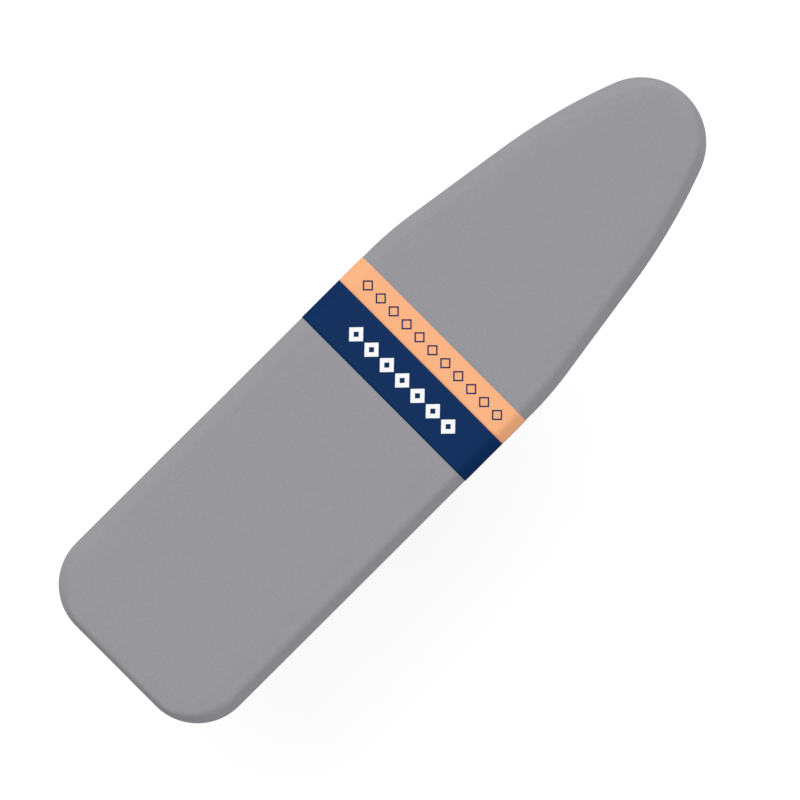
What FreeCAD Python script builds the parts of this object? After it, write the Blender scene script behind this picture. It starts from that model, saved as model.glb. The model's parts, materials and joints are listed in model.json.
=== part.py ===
"""Folding ironing board, 15 by 54 inch class, standing open at its top height.

Frame: +X towards the nose, +Y to the left when facing the nose, +Z up, millimetres.
Origin: on the floor, under the middle of the board.

The outer leg hangs from a fixed rod near the nose and stands at the tail. The inner leg
stands at the nose and its top rod slides along two rails. Both are bolted together where
they cross, the same distance from both top pivots, so the board stays level at any height.
"""
import FreeCAD
import Part
import math
import os

from FreeCAD import Matrix, Vector

# ---- driving dimensions -------------------------------------------------------------
LENGTH = 1374.0            # covered board, tail to nose
HALF_WIDTH = 196.5         # covered board
TOP_Z = 900.0              # ironing surface above the floor
CORNER_R = 99.5            # tail corners, seen from above
SHOULDER_R = 639.0         # where the straight side starts to taper
TAPER = math.radians(8.64)
FLANK_R = 1050.0           # long curve between the taper and the nose
NOSE_ANGLE = math.radians(20.8)
NOSE_R = 111.3

COVER_T = 1.5              # cover cloth, with its coating
COVER_EDGE_R = 15.0        # soft roll at the top edge
COVER_HEM_R = 4.0          # bend round the bottom of the rim
COVER_UNDER_Z = 864.0      # underside of the turned-in cover
HEM_INSET = 46.0           # how far the cover is turned in under the rim
HEM_R = 3.5                # sewn casing along the hem
ELASTIC_R = 1.9

SHEET_TOP_Z = 885.8
SHEET_T = 0.6
PAD_GAP = 0.3              # between the stretched cover and what it covers
FELT_TOP_Z = 889.5
FOAM_TOP_Z = 894.0

VENT_R = 6.0
VENT_PITCH = 28.0
VENT_MARGIN = 30.0

RIM_T = 1.0
RIM_BOTTOM_Z = 868.0
RIM_LIP = 8.0
RIM_SHELF = 10.0

RAIL_Y = 46.0              # inner face of each rail's web
RAIL_T = 1.2
RAIL_FLANGE_IN = 18.0
RAIL_FLANGE_OUT = 16.0
RAIL_BOTTOM_Z = 857.0
RAIL_TAIL_X = -622.0
RAIL_NOSE_X = 335.0

LEG_ANGLE = math.radians(52.0)   # legs to the floor when fully open
PIVOT_X = 290.0                  # fixed rod of the outer leg
PIVOT_Z = 870.0                  # both top rods
PIVOT_OFFSET = 26.0              # rod above the tube's own axis, across the leg
CROSS_AT = 440.0                 # crossing bolt, along the tube from the rod
OUTER_Y = 96.0
INNER_Y = 68.0
TUBE_R = 11.0
TUBE_WALL = 1.0
TUBE_TOP = 14.0                  # tube past the rod
PLUG_L = 16.0
PLUG_HEAD_T = 3.0
PLUG_GAP = 0.1
BRACE_R = 8.0
BRACE_UP = 85.0                  # brace above the foot bar, along the leg
OUTER_FOOT_HALF = 178.0
INNER_FOOT_HALF = 138.0
FOOT_CAP_R = 14.0
FOOT_AXIS_Z = 13.0               # leaves a flat sole under each cap
FOOT_CAP_L = 38.0
FOOT_CAP_END = 3.0

ROD_R = 5.0
RUNNING = 0.05                   # radial clearance of a turning fit
SIDE_GAP = 0.3                   # between faces that slide past each other
SPACER_R = 8.0
END_CAP_L = 6.0
CLIP_T = 2.5
BRACKET_T = 2.5
BRACKET_EYE_R = 10.0
BRACKET_LENGTH = 46.0
BOLT_R = 4.0
BOLT_HEAD_R = 8.0
BOLT_HEAD_T = 3.0
NUT_R = 7.5                      # over the corners
NUT_T = 6.0
BUSH_WALL = 2.0
BUSH_PROUD = 0.5                 # bush past each side of the inner tube
CROSS_GAP = 0.8                  # bolt head and spacer to the inner tube

RACK_NOTCHES = 7
RACK_PITCH = 24.0
RACK_NOTCH_W = 7.0
RACK_NOTCH_H = 5.5
RACK_BOTTOM_Z = 876.0
RACK_HALF = 24.0
TOOTH_REACH = 30.0               # tooth of the pawl, noseward of the slide rod
TOOTH_T = 3.0
TOOTH_TOP_Z = RACK_BOTTOM_Z - 0.5

TIE_IN = 2.0                     # back of each rail tie from the rail's end
TIE_FLANGE = 16.0
TIE_FLANGE_HALF = 31.0           # the slide shoes pass beside the flange
TIE_T = 2.0
TIE_RIVET_Y = 20.0
RIVET_R = 2.4
RIVET_HEAD_R = 4.2
RIVET_HEAD_T = 1.8

SHOE_Y0 = 33.0
SHOE_HALF_X = 20.0
SHOE_CORNER_R = 3.0
BRIDGE_T = 2.0
BRIDGE_Z = (859.5, 875.0)
SCREW_R = 1.5
SCREW_L = 10.0
SCREW_HEAD_R = 3.0
SCREW_HEAD_T = 1.6
SCREW_Y = 39.0
SCREW_Z = 864.5

LEVER_Y = (-124.0, -119.0)
LEVER_REACH = 46.0               # grip behind the slide rod
LEVER_DROP = 33.0                # grip below the slide rod
LEVER_EYE_R = 10.0
LEVER_END_R = 7.0
TANG_R = 4.0
GRIP_R = 8.0
GRIP_END_Y = -180.0
HUB_R = 10.0
HUB_HALF = 12.0
SPRING_R = 7.5
SPRING_WIRE_R = 0.8
SPRING_TURNS = 4
SPRING_PITCH = 1.65

LABEL_X = (-43.0, 46.0, 102.0)   # tail edge, colour change, nose edge
LABEL_T = 0.4
LABEL_GAP = 0.2
LABEL_TUCK_Y = 160.0

# ---- worked out from them -----------------------------------------------------------
TAIL_X = -LENGTH / 2
SHEET_Z = SHEET_TOP_Z - SHEET_T
PAD_INSET = COVER_T + PAD_GAP
SIN, COS = math.sin(LEG_ANGLE), math.cos(LEG_ANGLE)
TUBE_L = (PIVOT_Z - FOOT_AXIS_Z - PIVOT_OFFSET * COS) / SIN
CROSS_X = PIVOT_X + PIVOT_OFFSET * SIN - CROSS_AT * COS
SLIDE_X = 2 * CROSS_X - PIVOT_X
SLIDE_FOLDED_X = PIVOT_X - 2 * CROSS_AT
OUTER_FOOT_X = PIVOT_X + PIVOT_OFFSET * SIN - TUBE_L * COS
INNER_FOOT_X = 2 * CROSS_X - OUTER_FOOT_X
WEB_Y = RAIL_Y + RAIL_T
OUTER_CHEEK = OUTER_Y + TUBE_R + BRACKET_T
INNER_CHEEK = INNER_Y + TUBE_R + BRACKET_T
SPRING_Y = HUB_HALF + SPRING_WIRE_R + 0.2
PAST = 1.0                       # how far a cutting shape runs past what it cuts
WIDE = 30.0                      # half-width of a cutting shape that clears a tube
Y_AXIS = Vector(0, 1, 0)
Z_AXIS = Vector(0, 0, 1)
X_AXIS = Vector(1, 0, 0)


# ---- small helpers ------------------------------------------------------------------
def save(name, *solids):
    """One node: one STEP file holding one or more separate solids."""
    flat = [s for shape in solids for s in shape.Solids]
    shape = flat[0] if len(flat) == 1 else Part.makeCompound(flat)
    if not all(s.isValid() for s in flat):
        raise RuntimeError(name + " has an invalid solid")
    shape.exportStep("parts/" + name + ".step")


def box(x0, x1, y0, y1, z0, z1):
    return Part.makeBox(x1 - x0, y1 - y0, z1 - z0, Vector(x0, y0, z0))


def rod_y(x, z, y0, y1, radius):
    """A round bar along Y."""
    return Part.makeCylinder(radius, y1 - y0, Vector(x, y0, z), Y_AXIS)


def tube_y(x, z, y0, y1, radius, bore):
    return rod_y(x, z, y0, y1, radius).cut(rod_y(x, z, y0, y1, bore))


def mirrored(shape):
    """The same piece on the other side of the board."""
    return shape.mirror(Vector(0, 0, 0), Y_AXIS)


def both_sides(shape):
    return shape, mirrored(shape)


def extrude_y(points, y0, y1):
    """A flat plate whose outline is drawn in X and Z, between two Y planes."""
    wire = Part.makePolygon([Vector(x, y0, z) for x, z in points + points[:1]])
    return Part.Face(wire).extrude(Vector(0, y1 - y0, 0))


# ---- the board's outline ------------------------------------------------------------
def outline_arcs():
    """Centre, radius, first and last direction of each arc of the left half, tail to nose.

    A direction is the angle from +Y towards +X. Straight stretches join the arcs.
    """
    nose = (TAIL_X + LENGTH - NOSE_R, 0.0)
    flank_pull = FLANK_R - NOSE_R
    flank = (nose[0] - flank_pull * math.sin(NOSE_ANGLE), -flank_pull * math.cos(NOSE_ANGLE))
    shoulder_y = HALF_WIDTH - SHOULDER_R
    # The taper is the line that touches both the shoulder arc and the flank arc.
    rise = (shoulder_y - flank[1]) * math.cos(TAPER) + SHOULDER_R - FLANK_R
    shoulder = (flank[0] - rise / math.sin(TAPER), shoulder_y)
    corner = (TAIL_X + CORNER_R, HALF_WIDTH - CORNER_R)
    return [
        (corner, CORNER_R, -math.pi / 2, 0.0),
        (shoulder, SHOULDER_R, 0.0, TAPER),
        (flank, FLANK_R, TAPER, NOSE_ANGLE),
        (nose, NOSE_R, NOSE_ANGLE, math.pi / 2),
    ]


def outline(inset, z):
    """The board's outline drawn in by inset, as a closed wire at height z."""
    def at(centre, radius, angle, side):
        r = radius - inset
        return Vector(centre[0] + r * math.sin(angle), side * (centre[1] + r * math.cos(angle)), z)

    edges = []
    for side in (1, -1):
        last = None
        for centre, radius, start, end in outline_arcs():
            first = at(centre, radius, start, side)
            middle = at(centre, radius, (start + end) / 2, side)
            if last and last.distanceToPoint(first) > 0.01:
                edges.append(Part.LineSegment(last, first).toShape())
            last = at(centre, radius, end, side)
            edges.append(Part.Arc(first, middle, last).toShape())
    tail = TAIL_X + inset
    tail_y = HALF_WIDTH - CORNER_R
    edges.append(Part.LineSegment(Vector(tail, -tail_y, z), Vector(tail, tail_y, z)).toShape())
    return Part.Wire(Part.__sortEdges__(edges))


def slab(inset, z0, z1):
    return Part.Face(outline(inset, z0)).extrude(Vector(0, 0, z1 - z0))


def ring(inset, width, z0, z1):
    return slab(inset, z0, z1).cut(slab(inset + width, z0 - 1, z1 + 1))


def soft_slab(inset, z0, z1, top_radius, bottom_radius):
    """A slab of the board's shape with rolled edges."""
    solid = slab(inset, z0, z1)
    for z, radius in ((z1, top_radius), (z0, bottom_radius)):
        if radius:
            flat = [e for e in solid.Edges if all(abs(v.Z - z) < 1e-6 for v in e.Vertexes)]
            solid = solid.makeFillet(radius, flat)
    return solid


# ---- board: covers and padding ------------------------------------------------------
def build_cover():
    outer = soft_slab(0, COVER_UNDER_Z, TOP_Z, COVER_EDGE_R, COVER_HEM_R)
    inner = soft_slab(COVER_T, COVER_UNDER_Z + COVER_T, TOP_Z - COVER_T,
                      COVER_EDGE_R - COVER_T, COVER_HEM_R - COVER_T)
    mouth = slab(HEM_INSET, COVER_UNDER_Z - 1, COVER_UNDER_Z + 2 * COVER_T)
    save("cover", outer.cut(inner).cut(mouth))


def build_hem():
    """The casing sewn along the hem, and the elastic cord that runs round inside it."""
    centre_z = COVER_UNDER_Z + COVER_T
    path = outline(HEM_INSET + HEM_R + SIDE_GAP, centre_z)
    start = path.Edges[0].Vertexes[0].Point
    tangent = path.Edges[0].tangentAt(path.Edges[0].FirstParameter)

    def swept(radius):
        circle = Part.Wire(Part.makeCircle(radius, start, tangent))
        return path.makePipeShell([circle], True, False)

    save("hem_casing", swept(HEM_R).cut(swept(ELASTIC_R + 0.1)))
    save("hem_elastic", swept(ELASTIC_R))


def build_padding():
    """Three loose layers under the cover, cut from one rolled-edge block."""
    block = soft_slab(PAD_INSET, RIM_BOTTOM_Z, TOP_Z - COVER_T, COVER_EDGE_R - PAD_INSET, 0)
    layers = (
        ("felt_layer", SHEET_TOP_Z, FELT_TOP_Z),
        ("foam_layer", FELT_TOP_Z, FOAM_TOP_Z),
        ("batting_layer", FOAM_TOP_Z, TOP_Z - COVER_T),
    )
    for name, z0, z1 in layers:
        save(name, block.common(slab(0, z0, z1)))


def label_profile(grow):
    """Section of the sleeve across the board: the cover's section grown outwards."""
    half, low, high = HALF_WIDTH + grow, COVER_UNDER_Z - grow, TOP_Z + grow
    x0, x1 = LABEL_X[0], LABEL_X[-1]
    solid = box(x0, x1, -half, half, low, high)
    for z, radius in ((high, COVER_EDGE_R + grow), (low, COVER_HEM_R + grow)):
        long_edges = [
            e for e in solid.Edges
            if abs(e.Length - (x1 - x0)) < 1e-6 and abs(e.Vertexes[0].Z - z) < 1e-6
        ]
        solid = solid.makeFillet(radius, long_edges)
    return solid


def build_label():
    """A paper sleeve folded over the board in two colours, its ends tucked under the hem."""
    sleeve = label_profile(LABEL_GAP + LABEL_T).cut(label_profile(LABEL_GAP))
    sleeve = sleeve.cut(box(LABEL_X[0] - 1, LABEL_X[-1] + 1, -LABEL_TUCK_Y, LABEL_TUCK_Y,
                            COVER_UNDER_Z - 10, COVER_UNDER_Z + 10))
    for name, x0, x1 in (("navy_label_band", LABEL_X[0], LABEL_X[1]),
                         ("peach_label_band", LABEL_X[1], LABEL_X[2])):
        save(name, sleeve.common(box(x0, x1, -HALF_WIDTH - 9, HALF_WIDTH + 9, 0, TOP_Z + 9)))


# ---- board: metal top ---------------------------------------------------------------
RAIL_RIVET_Y = WEB_Y + RAIL_FLANGE_OUT / 2
RACK_T = 1.5
RACK_SIDE_T = 2.0
RACK_X1 = SLIDE_X + TOOTH_REACH + RACK_PITCH / 2
RACK_X0 = RACK_X1 - RACK_NOTCHES * RACK_PITCH
RAIL_RIVET_X = [RAIL_TAIL_X + 24 + i * (RAIL_NOSE_X - RAIL_TAIL_X - 48) / 5 for i in range(6)]
RACK_RIVET_X = [RACK_X0 + RACK_PITCH, (RACK_X0 + RACK_X1) / 2, RACK_X1 - RACK_PITCH]
TIE_RIVET_REACH = TIE_IN + TIE_T + (TIE_FLANGE - TIE_T) / 2
TIE_RIVET_X = [RAIL_TAIL_X + TIE_RIVET_REACH, RAIL_NOSE_X - TIE_RIVET_REACH]


def rivet_places():
    """X, Y and the height of the face under the head, for every rivet in the sheet."""
    rails = [(x, s * RAIL_RIVET_Y, SHEET_Z - RAIL_T) for x in RAIL_RIVET_X for s in (1, -1)]
    rack = [(x, 0.0, SHEET_Z - RACK_T) for x in RACK_RIVET_X]
    ties = [(x, s * TIE_RIVET_Y, SHEET_Z - TIE_T) for x in TIE_RIVET_X for s in (1, -1)]
    return rails, rack, ties


def rivet_shank(x, y):
    return Part.makeCylinder(RIVET_R, SHEET_TOP_Z - SHEET_Z + 20, Vector(x, y, SHEET_Z - 20), Z_AXIS)


def rivet(x, y, face_z):
    shank = Part.makeCylinder(RIVET_R, SHEET_TOP_Z - face_z, Vector(x, y, face_z), Z_AXIS)
    head = Part.makeCylinder(RIVET_HEAD_R, RIVET_HEAD_T, Vector(x, y, face_z - RIVET_HEAD_T), Z_AXIS)
    low = [e for e in head.Edges if abs(e.BoundBox.ZMax - head.BoundBox.ZMin) < 1e-6]
    return shank.fuse(head.makeFillet(RIVET_HEAD_T * 0.6, low)).removeSplitter()


def drilled(shape, places):
    for x, y, _ in places:
        shape = shape.cut(rivet_shank(x, y))
    return shape


def vent_centres():
    """A staggered grid of holes, clear of the rivets."""
    inside = Part.Face(outline(VENT_MARGIN, 0))
    row_pitch = VENT_PITCH * math.sqrt(3) / 2
    rivets = [p for group in rivet_places() for p in group]
    clear = VENT_R + RIVET_HEAD_R + 1
    rows = int(HALF_WIDTH / row_pitch)
    columns = int(LENGTH / 2 / VENT_PITCH)
    for row in range(-rows, rows + 1):
        for column in range(-columns, columns + 1):
            x = (column + (row % 2) / 2) * VENT_PITCH
            y = row * row_pitch
            near_rivet = any(math.hypot(x - p[0], y - p[1]) < clear for p in rivets)
            if not near_rivet and inside.isInside(Vector(x, y, 0), 1e-6, True):
                yield x, y


def build_sheet():
    """The pressed steel top, with a grid of steam vents."""
    wires = [outline(PAD_INSET + RIM_T + 0.1, SHEET_Z)]
    for x, y in vent_centres():
        wires.append(Part.Wire(Part.makeCircle(VENT_R, Vector(x, y, SHEET_Z), Z_AXIS)))
    for group in rivet_places():
        for x, y, _ in group:
            wires.append(Part.Wire(Part.makeCircle(RIVET_R, Vector(x, y, SHEET_Z), Z_AXIS)))
    face = Part.Face(wires, "Part::FaceMakerBullseye")
    save("perforated_top", face.extrude(Vector(0, 0, SHEET_T)))


def build_rim():
    """The folded rim: a wall, a shelf that carries the sheet and a turned-in bottom lip."""
    wall = ring(PAD_INSET, RIM_T, RIM_BOTTOM_Z, SHEET_TOP_Z)
    shelf = ring(PAD_INSET, RIM_T + RIM_SHELF, SHEET_Z - RIM_T, SHEET_Z)
    lip = ring(PAD_INSET, RIM_T + RIM_LIP, RIM_BOTTOM_Z, RIM_BOTTOM_Z + RIM_T)
    save("rim_frame", wall.fuse([shelf, lip]).removeSplitter())


def build_rails():
    """Two Z-section rails: rod hole at the nose, long slot for the slide rod."""
    web = box(RAIL_TAIL_X, RAIL_NOSE_X, RAIL_Y, WEB_Y, RAIL_BOTTOM_Z, SHEET_Z)
    top = box(RAIL_TAIL_X, RAIL_NOSE_X, RAIL_Y, WEB_Y + RAIL_FLANGE_OUT, SHEET_Z - RAIL_T, SHEET_Z)
    low = box(RAIL_TAIL_X, RAIL_NOSE_X, RAIL_Y - RAIL_FLANGE_IN, WEB_Y,
              RAIL_BOTTOM_Z, RAIL_BOTTOM_Z + RAIL_T)
    slot_r = ROD_R + SIDE_GAP
    y0, y1 = RAIL_Y - PAST, WEB_Y + PAST
    slot = box(SLIDE_FOLDED_X, SLIDE_X, y0, y1, PIVOT_Z - slot_r, PIVOT_Z + slot_r)
    for x in (SLIDE_FOLDED_X, SLIDE_X):
        slot = slot.fuse(rod_y(x, PIVOT_Z, y0, y1, slot_r))
    rail = web.fuse([top, low]).removeSplitter().cut(slot)
    rail = rail.cut(rod_y(PIVOT_X, PIVOT_Z, y0, y1, ROD_R))
    rail = drilled(rail, [p for p in rivet_places()[0] if p[1] > 0])
    save("rail_left", rail)
    save("rail_right", mirrored(rail))


def rail_tie(back_x, way):
    """Angle between the rails: an upright plate, and a flange riveted under the sheet."""
    half = RAIL_Y - SIDE_GAP
    plate_x, flange_x = back_x + way * TIE_T, back_x + way * TIE_FLANGE
    plate = box(min(back_x, plate_x), max(back_x, plate_x), -half, half, RAIL_BOTTOM_Z + RAIL_T, SHEET_Z)
    flange = box(min(back_x, flange_x), max(back_x, flange_x), -TIE_FLANGE_HALF, TIE_FLANGE_HALF,
                 SHEET_Z - TIE_T, SHEET_Z)
    angle = plate.fuse(flange).removeSplitter()
    return drilled(angle, rivet_places()[2])


def build_ties():
    save("rail_tie_tail", rail_tie(RAIL_TAIL_X + TIE_IN, 1))
    save("rail_tie_nose", rail_tie(RAIL_NOSE_X - TIE_IN, -1))


def build_rack():
    """Inverted channel between the rails, its two edges notched for the pawl."""
    x0, x1 = RACK_X0, RACK_X1
    body = box(x0, x1, -RACK_HALF, RACK_HALF, RACK_BOTTOM_Z, SHEET_Z)
    body = body.cut(box(x0 - PAST, x1 + PAST, -RACK_HALF + RACK_SIDE_T, RACK_HALF - RACK_SIDE_T,
                        RACK_BOTTOM_Z - PAST, SHEET_Z - RACK_T))
    for i in range(RACK_NOTCHES):
        x = SLIDE_X + TOOTH_REACH - i * RACK_PITCH
        body = body.cut(box(x - RACK_NOTCH_W / 2, x + RACK_NOTCH_W / 2, -RACK_HALF - PAST, RACK_HALF + PAST,
                            RACK_BOTTOM_Z - PAST, RACK_BOTTOM_Z + RACK_NOTCH_H))
    save("height_rack", drilled(body, rivet_places()[1]))


def build_rivets():
    rails, rack, ties = rivet_places()
    save("rail_rivets", *[rivet(*p) for p in rails])
    save("rack_rivets", *[rivet(*p) for p in rack])
    save("tie_rivets", *[rivet(*p) for p in ties])


# ---- fixed pivot of the outer leg ---------------------------------------------------
def build_fixed_pivot():
    """The rod through the rails, with spacers beside the rails and caps on its ends."""
    end = OUTER_CHEEK + SIDE_GAP + END_CAP_L * 2 / 3
    save("nose_pivot_rod", rod_y(PIVOT_X, PIVOT_Z, -end, end, ROD_R))
    inner_face = OUTER_Y - TUBE_R - BRACKET_T
    spacer = tube_y(PIVOT_X, PIVOT_Z, WEB_Y, inner_face - SIDE_GAP, SPACER_R, ROD_R)
    save("pivot_spacers", *both_sides(spacer))
    start = OUTER_CHEEK + SIDE_GAP
    cap = rod_y(PIVOT_X, PIVOT_Z, start, start + END_CAP_L, SPACER_R)
    far = [e for e in cap.Edges if abs(e.BoundBox.YMin - start - END_CAP_L) < 1e-6]
    cap = cap.makeFillet(END_CAP_L / 2, far).cut(rod_y(PIVOT_X, PIVOT_Z, start - PAST, end, ROD_R))
    save("pivot_end_caps", *both_sides(cap))


# ---- legs ---------------------------------------------------------------------------
def leg_frame(pivot_x, way):
    """Matrix from a leg's own frame to the row frame.

    In the leg's frame the top rod lies on Y, +X runs down the leg and +Z faces the board
    when the leg is folded. way is -1 for a leg that runs down to the tail, 1 to the nose.
    """
    down = Vector(way * COS, 0, -SIN)
    up = Vector(way * SIN, 0, COS)
    side = up.cross(down)
    return Matrix(down.x, side.x, up.x, pivot_x,
                  down.y, side.y, up.y, 0,
                  down.z, side.z, up.z, PIVOT_Z,
                  0, 0, 0, 1)


def leg_tube(y):
    """Side tube in the leg's frame, shaped to the foot bar at its lower end."""
    start = Vector(-TUBE_TOP, y, -PIVOT_OFFSET)
    length = TUBE_L + TUBE_TOP
    outer = Part.makeCylinder(TUBE_R, length, start, X_AXIS)
    bore = Part.makeCylinder(TUBE_R - TUBE_WALL, length, start, X_AXIS)
    return outer.cut(bore).cut(rod_y(TUBE_L, -PIVOT_OFFSET, y - WIDE, y + WIDE, TUBE_R))


def tube_plug(y):
    """Push-in plug that closes the top end of a side tube, with a domed head."""
    start = Vector(-TUBE_TOP, y, -PIVOT_OFFSET)
    stem = Part.makeCylinder(TUBE_R - TUBE_WALL - PLUG_GAP, PLUG_L, start, X_AXIS)
    head = Part.makeCylinder(TUBE_R, PLUG_HEAD_T, start - X_AXIS * PLUG_HEAD_T, X_AXIS)
    far = [e for e in head.Edges if abs(e.BoundBox.XMax - head.BoundBox.XMin) < 1e-6]
    return stem.fuse(head.makeFillet(PLUG_HEAD_T * 2 / 3, far)).removeSplitter()


def pivot_bracket(y):
    """Saddle welded under the side tube, with an eye for the rod on each side of it."""
    x0, x1 = -BRACKET_EYE_R, BRACKET_LENGTH - BRACKET_EYE_R
    outer_r = TUBE_R + BRACKET_T
    axis_z = -PIVOT_OFFSET
    saddle = Part.makeCylinder(outer_r, x1 - x0, Vector(x0, y, axis_z), X_AXIS)
    saddle = saddle.common(box(x0, x1, y - WIDE, y + WIDE, axis_z - WIDE, axis_z))
    cheeks = extrude_y([(x0, axis_z), (x0, 0), (BRACKET_EYE_R, 0), (x1, axis_z)],
                       y - outer_r, y + outer_r)
    eye = rod_y(0, 0, y - outer_r, y + outer_r, BRACKET_EYE_R)
    body = saddle.fuse([cheeks, eye]).removeSplitter()
    body = body.cut(box(x0 - PAST, x1 + PAST, y - TUBE_R, y + TUBE_R, axis_z, BRACKET_EYE_R + PAST))
    body = body.cut(Part.makeCylinder(TUBE_R, x1 - x0 + 2 * PAST, Vector(x0 - PAST, y, axis_z), X_AXIS))
    return body.cut(rod_y(0, 0, y - WIDE, y + WIDE, ROD_R + RUNNING))


def foot_bar(x, half):
    return tube_y(x, FOOT_AXIS_Z, -half, half, TUBE_R, TUBE_R - TUBE_WALL)


def foot_cap(x, half):
    """Cup pushed over a foot bar's end, with a flat sole on the floor."""
    y0, y1 = half + FOOT_CAP_END - FOOT_CAP_L, half + FOOT_CAP_END
    cup = rod_y(x, FOOT_AXIS_Z, y0, y1, FOOT_CAP_R)
    rims = [e for e in cup.Edges if e.BoundBox.YLength < 1e-6]
    cup = cup.makeFillet(FOOT_CAP_END / 2, rims).cut(rod_y(x, FOOT_AXIS_Z, y0 - PAST, half, TUBE_R))
    return cup.cut(box(x - WIDE, x + WIDE, y0 - PAST, y1 + PAST, -WIDE, 0))


def brace(x, tube_y_pos, matrix):
    """Cross brace between the side tubes, shaped to them at both ends."""
    bar = tube_y(x, -PIVOT_OFFSET, -tube_y_pos, tube_y_pos, BRACE_R, BRACE_R - TUBE_WALL)
    for side in (1, -1):
        start = Vector(x - WIDE, side * tube_y_pos, -PIVOT_OFFSET)
        bar = bar.cut(Part.makeCylinder(TUBE_R, 2 * WIDE, start, X_AXIS))
    return bar.transformed(matrix)


def leg_parts(prefix, pivot_x, way, tube_y_pos, foot_x, foot_half, cross_hole_r):
    """Tubes, brackets, plugs, brace, foot bar and caps of one leg."""
    matrix = leg_frame(pivot_x, way)
    hole = rod_y(CROSS_AT, -PIVOT_OFFSET, -HALF_WIDTH, HALF_WIDTH, cross_hole_r)
    for side, sign in (("left", 1), ("right", -1)):
        # The outer leg's own Y points to the right, so its pieces change sides.
        y = sign * way * tube_y_pos
        save(prefix + "_tube_" + side, leg_tube(y).cut(hole).transformed(matrix))
        save(prefix + "_bracket_" + side, pivot_bracket(y).transformed(matrix))
    plugs = [tube_plug(sign * tube_y_pos).transformed(matrix) for sign in (1, -1)]
    save(prefix + "_tube_plugs", *plugs)
    save(prefix + "_brace", brace(TUBE_L - BRACE_UP, tube_y_pos, matrix))
    save(prefix + "_foot_bar", foot_bar(foot_x, foot_half))
    cap = foot_cap(foot_x, foot_half)
    save(prefix + "_foot_cap_left", cap)
    save(prefix + "_foot_cap_right", mirrored(cap))


def build_crossing():
    """Bolt, nut, spacer and bush on each side where the legs cross."""
    z = PIVOT_Z - PIVOT_OFFSET * COS - CROSS_AT * SIN
    inner_in, inner_out = INNER_Y - TUBE_R, INNER_Y + TUBE_R
    outer_in, outer_out = OUTER_Y - TUBE_R, OUTER_Y + TUBE_R
    head_y = inner_in - CROSS_GAP
    shank = rod_y(CROSS_X, z, head_y, outer_out + NUT_T + 2, BOLT_R)
    head = rod_y(CROSS_X, z, head_y - BOLT_HEAD_T, head_y, BOLT_HEAD_R)
    far = [e for e in head.Edges if e.BoundBox.YMax < head_y - BOLT_HEAD_T + 1e-6]
    bolt = shank.fuse(head.makeFillet(BOLT_HEAD_T * 2 / 3, far)).removeSplitter()
    save("cross_bolts", *both_sides(bolt))
    corners = [(CROSS_X + NUT_R * math.cos(i * math.pi / 3), z + NUT_R * math.sin(i * math.pi / 3))
               for i in range(6)]
    nut = extrude_y(corners, outer_out, outer_out + NUT_T)
    nut = nut.cut(rod_y(CROSS_X, z, outer_out - PAST, outer_out + NUT_T + PAST, BOLT_R))
    save("cross_nuts", *both_sides(nut))
    spacer = tube_y(CROSS_X, z, inner_out + CROSS_GAP, outer_in, SPACER_R + 1, BOLT_R)
    save("cross_spacers", *both_sides(spacer))
    bush = tube_y(CROSS_X, z, inner_in - BUSH_PROUD, inner_out + BUSH_PROUD,
                  BOLT_R + BUSH_WALL, BOLT_R + RUNNING)
    save("cross_bushes", *both_sides(bush))


# ---- sliding carriage and release lever ---------------------------------------------
def build_carriage():
    """Two nylon shoes that run inside the rails, joined by a steel bridge behind the rod."""
    low, high = RAIL_BOTTOM_Z + RAIL_T + SIDE_GAP, SHEET_Z - SIDE_GAP
    shoe = box(SLIDE_X - SHOE_HALF_X, SLIDE_X + SHOE_HALF_X, SHOE_Y0, RAIL_Y - SIDE_GAP, low, high)
    corners = [e for e in shoe.Edges if e.BoundBox.YLength > 5]
    shoe = shoe.makeFillet(SHOE_CORNER_R, corners)
    shoe = shoe.cut(rod_y(SLIDE_X, PIVOT_Z, SHOE_Y0 - PAST, RAIL_Y + PAST, ROD_R + RUNNING))
    tail = SLIDE_X - SHOE_HALF_X
    screw_start = Vector(tail - BRIDGE_T, SCREW_Y, SCREW_Z)
    screw = Part.makeCylinder(SCREW_R, SCREW_L, screw_start, X_AXIS)
    shoe = shoe.cut(screw)
    save("slide_shoe_left", shoe)
    save("slide_shoe_right", mirrored(shoe))
    bridge = box(tail - BRIDGE_T, tail, -RAIL_Y + 2, RAIL_Y - 2, *BRIDGE_Z)
    leg_start = Vector(tail - BRIDGE_T - PAST, SPRING_Y, PIVOT_Z - SPRING_R)
    spring_hole = Part.makeCylinder(SPRING_WIRE_R + 0.4, BRIDGE_T + 2 * PAST, leg_start, X_AXIS)
    save("carriage_bridge", bridge.cut(screw).cut(mirrored(screw)).cut(spring_hole))
    head = Part.makeCylinder(SCREW_HEAD_R, SCREW_HEAD_T, screw_start - X_AXIS * SCREW_HEAD_T, X_AXIS)
    save("bridge_screws", *both_sides(screw.fuse(head).removeSplitter()))


def build_slide_rod():
    """The rod that slides in the rails and turns with the lever, and what keeps it in place."""
    short_end = INNER_CHEEK + SIDE_GAP + CLIP_T + 1.5
    save("slide_rod", rod_y(SLIDE_X, PIVOT_Z, LEVER_Y[0] - 2, short_end, ROD_R))
    inner_face = INNER_Y - TUBE_R - BRACKET_T
    spacer = tube_y(SLIDE_X, PIVOT_Z, WEB_Y + SIDE_GAP, inner_face - SIDE_GAP, SPACER_R, ROD_R)
    save("rod_spacers", *both_sides(spacer))
    start = INNER_CHEEK + SIDE_GAP
    clip = tube_y(SLIDE_X, PIVOT_Z, start, start + CLIP_T, SPACER_R, ROD_R)
    save("rod_clips", *both_sides(clip))


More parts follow.
